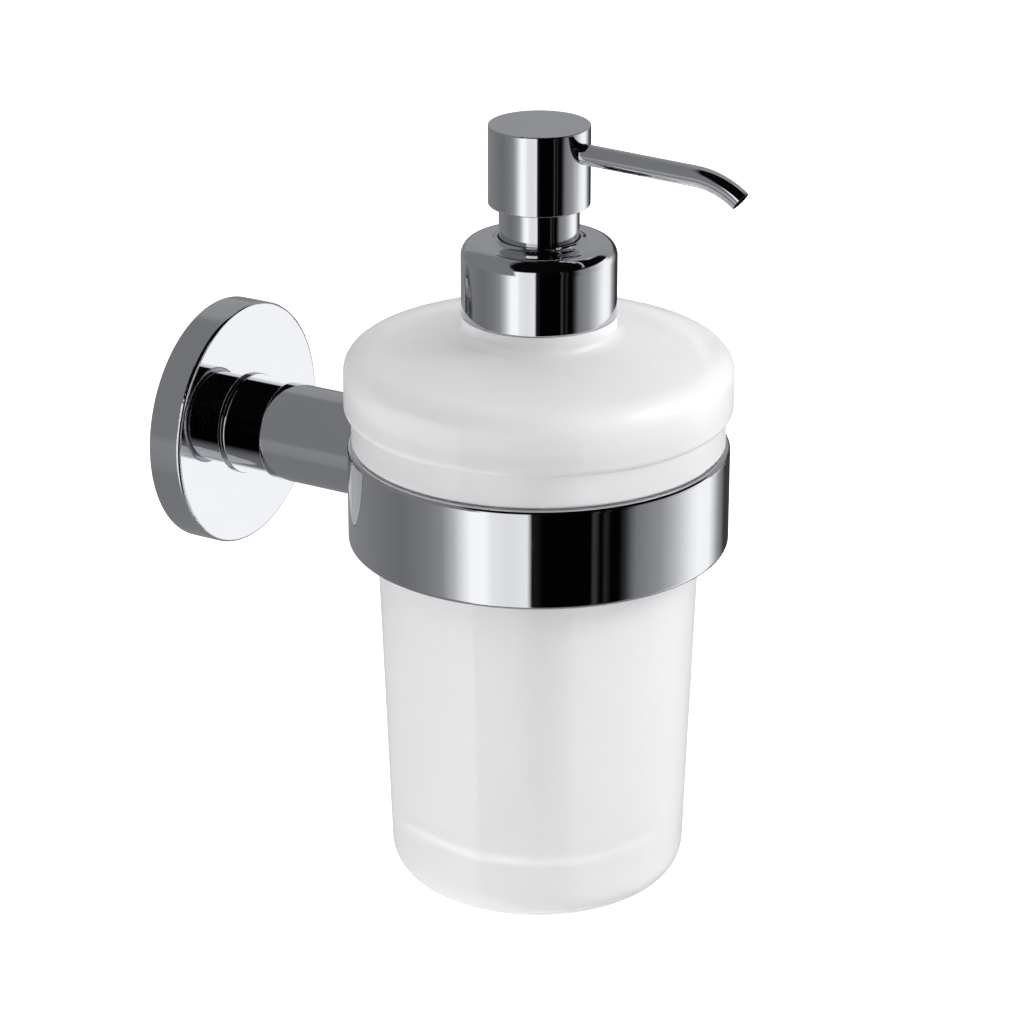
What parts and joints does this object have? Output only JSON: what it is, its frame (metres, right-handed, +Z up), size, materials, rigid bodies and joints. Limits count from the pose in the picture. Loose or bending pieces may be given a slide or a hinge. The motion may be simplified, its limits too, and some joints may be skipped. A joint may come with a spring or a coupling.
{
  "type": "wall mounted soap dispenser",
  "caption": "Wall mounted soap dispenser: round plate, short arm and ring in polished chrome hold a lift-out satin glass bottle with a screw-on press pump and a bent spout.",
  "frame": {"origin": "centre of the wall plate's back face, on the wall, on the arm's axis", "axes": "+Z up, -Y out of the wall along the arm and the spout, +X to the right for a viewer who faces the wall; the bottle's axis is vertical, 84.8 mm out of the wall"},
  "size_m": [0.0852, 0.1341, 0.1744],
  "materials": {
    "wall_plate": "polished chrome plate",
    "mounting_bracket": "zinc plated steel, hidden",
    "plate_grub_screw": "stainless steel",
    "arm_bolt": "stainless steel",
    "arm_neck": "polished chrome plate",
    "arm_sleeve": "polished chrome plate",
    "holder_ring": "polished chrome plate",
    "ring_screw": "stainless steel",
    "ring_liner": "translucent soft plastic",
    "glass_bottle": "acid-etched satin glass",
    "neck_gasket": "soft white gasket",
    "pump_housing": "white moulded plastic",
    "stem_guide": "white moulded plastic",
    "pump_spring": "stainless spring wire",
    "inlet_ball": "polished stainless ball",
    "dip_tube": "translucent plastic tube",
    "piston_seal": "soft white plastic",
    "piston_stem": "white moulded plastic",
    "head_core": "white moulded plastic",
    "head_shell": "polished chrome plate",
    "spout_tube": "polished chrome plate",
    "spout_o_ring": "black rubber",
    "collar_insert": "white moulded plastic",
    "collar_shell": "polished chrome plate"
  },
  "bodies": {
    "holder": {"wall_plate": "wall_plate", "mounting_bracket": "mounting_bracket", "plate_grub_screw": "plate_grub_screw", "arm_bolt": "arm_bolt", "arm_neck": "arm_neck", "arm_sleeve": "arm_sleeve", "holder_ring": "holder_ring", "ring_screw": "ring_screw", "ring_liner": "ring_liner"},
    "bottle": {"glass_bottle": "glass_bottle"},
    "pump": {"pump_housing": "pump_housing", "stem_guide": "stem_guide", "neck_gasket": "neck_gasket", "dip_tube": "dip_tube", "pump_spring": "pump_spring"},
    "ball": {"inlet_ball": "inlet_ball"},
    "closure": {"collar_insert": "collar_insert", "collar_shell": "collar_shell"},
    "piston": {"piston_seal": "piston_seal"},
    "head": {"piston_stem": "piston_stem", "head_core": "head_core", "head_shell": "head_shell", "spout_tube": "spout_tube", "spout_o_ring": "spout_o_ring"}
  },
  "joints": [
    {"name": "bottle_lift", "type": "slide", "parent": "holder", "child": "bottle", "axis": [0, 0, 1], "range_m": [0, 0.12]},
    {"name": "pump_lift", "type": "slide", "parent": "bottle", "child": "pump", "axis": [0, 0, 1], "range_m": [0, 0.0045]},
    {"name": "collar_turn", "type": "hinge", "parent": "pump", "child": "closure", "pos_m": [0, -0.0848, 0.045], "axis": [0, 0, 1], "range_deg": [0, 540]},
    {"name": "head_press", "type": "slide", "parent": "pump", "child": "piston", "axis": [0, 0, -1], "range_m": [0, 0.0068], "stiffness_N_per_m": 500, "springref_m": -0.008, "deforming": ["pump_spring"]},
    {"name": "head_swivel", "type": "hinge", "parent": "piston", "child": "head", "pos_m": [0, -0.0848, 0.07], "axis": [0, 0, 1], "continuous": true},
    {"name": "ball_lift", "type": "slide", "parent": "pump", "child": "ball", "axis": [0, 0, 1], "range_m": [0, 0.0012]}
  ],
  "couplings": [
    {"joint": "pump_lift", "follows": "collar_turn", "m_per_rad": 0.00047746}
  ]
}
